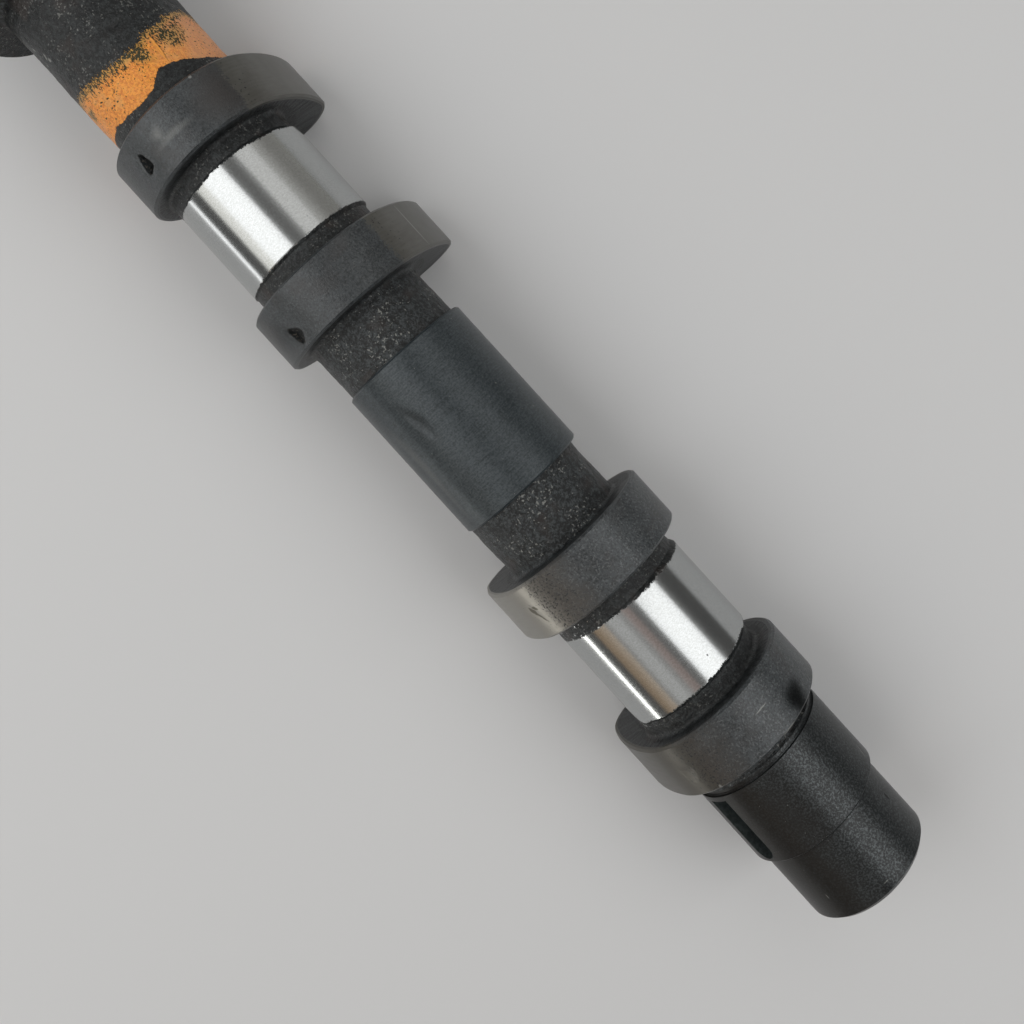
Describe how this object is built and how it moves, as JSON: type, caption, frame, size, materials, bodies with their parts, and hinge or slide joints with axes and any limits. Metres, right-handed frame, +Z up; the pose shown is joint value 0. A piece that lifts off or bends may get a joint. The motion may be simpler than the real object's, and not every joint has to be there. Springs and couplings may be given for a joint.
{
  "type": "camshaft",
  "caption": "Cast iron camshaft with lobe pairs about ground journals, a turned barrel, a keyed sprocket seat and a plain nose.",
  "frame": {"origin": "centre of the keyed sprocket seat, on the shaft's axis", "axes": "+X along the shaft's axis from the drive end to the tail, +Z up as the shaft lies on its four lobe tips"},
  "size_m": [0.2432, 0.041, 0.0408],
  "materials": {
    "cast_iron": "dark grey phosphated iron, bright ground journals, a band of orange paint on the bar"
  },
  "bodies": {
    "root": {"camshaft": "cast_iron"}
  },
  "joints": []
}
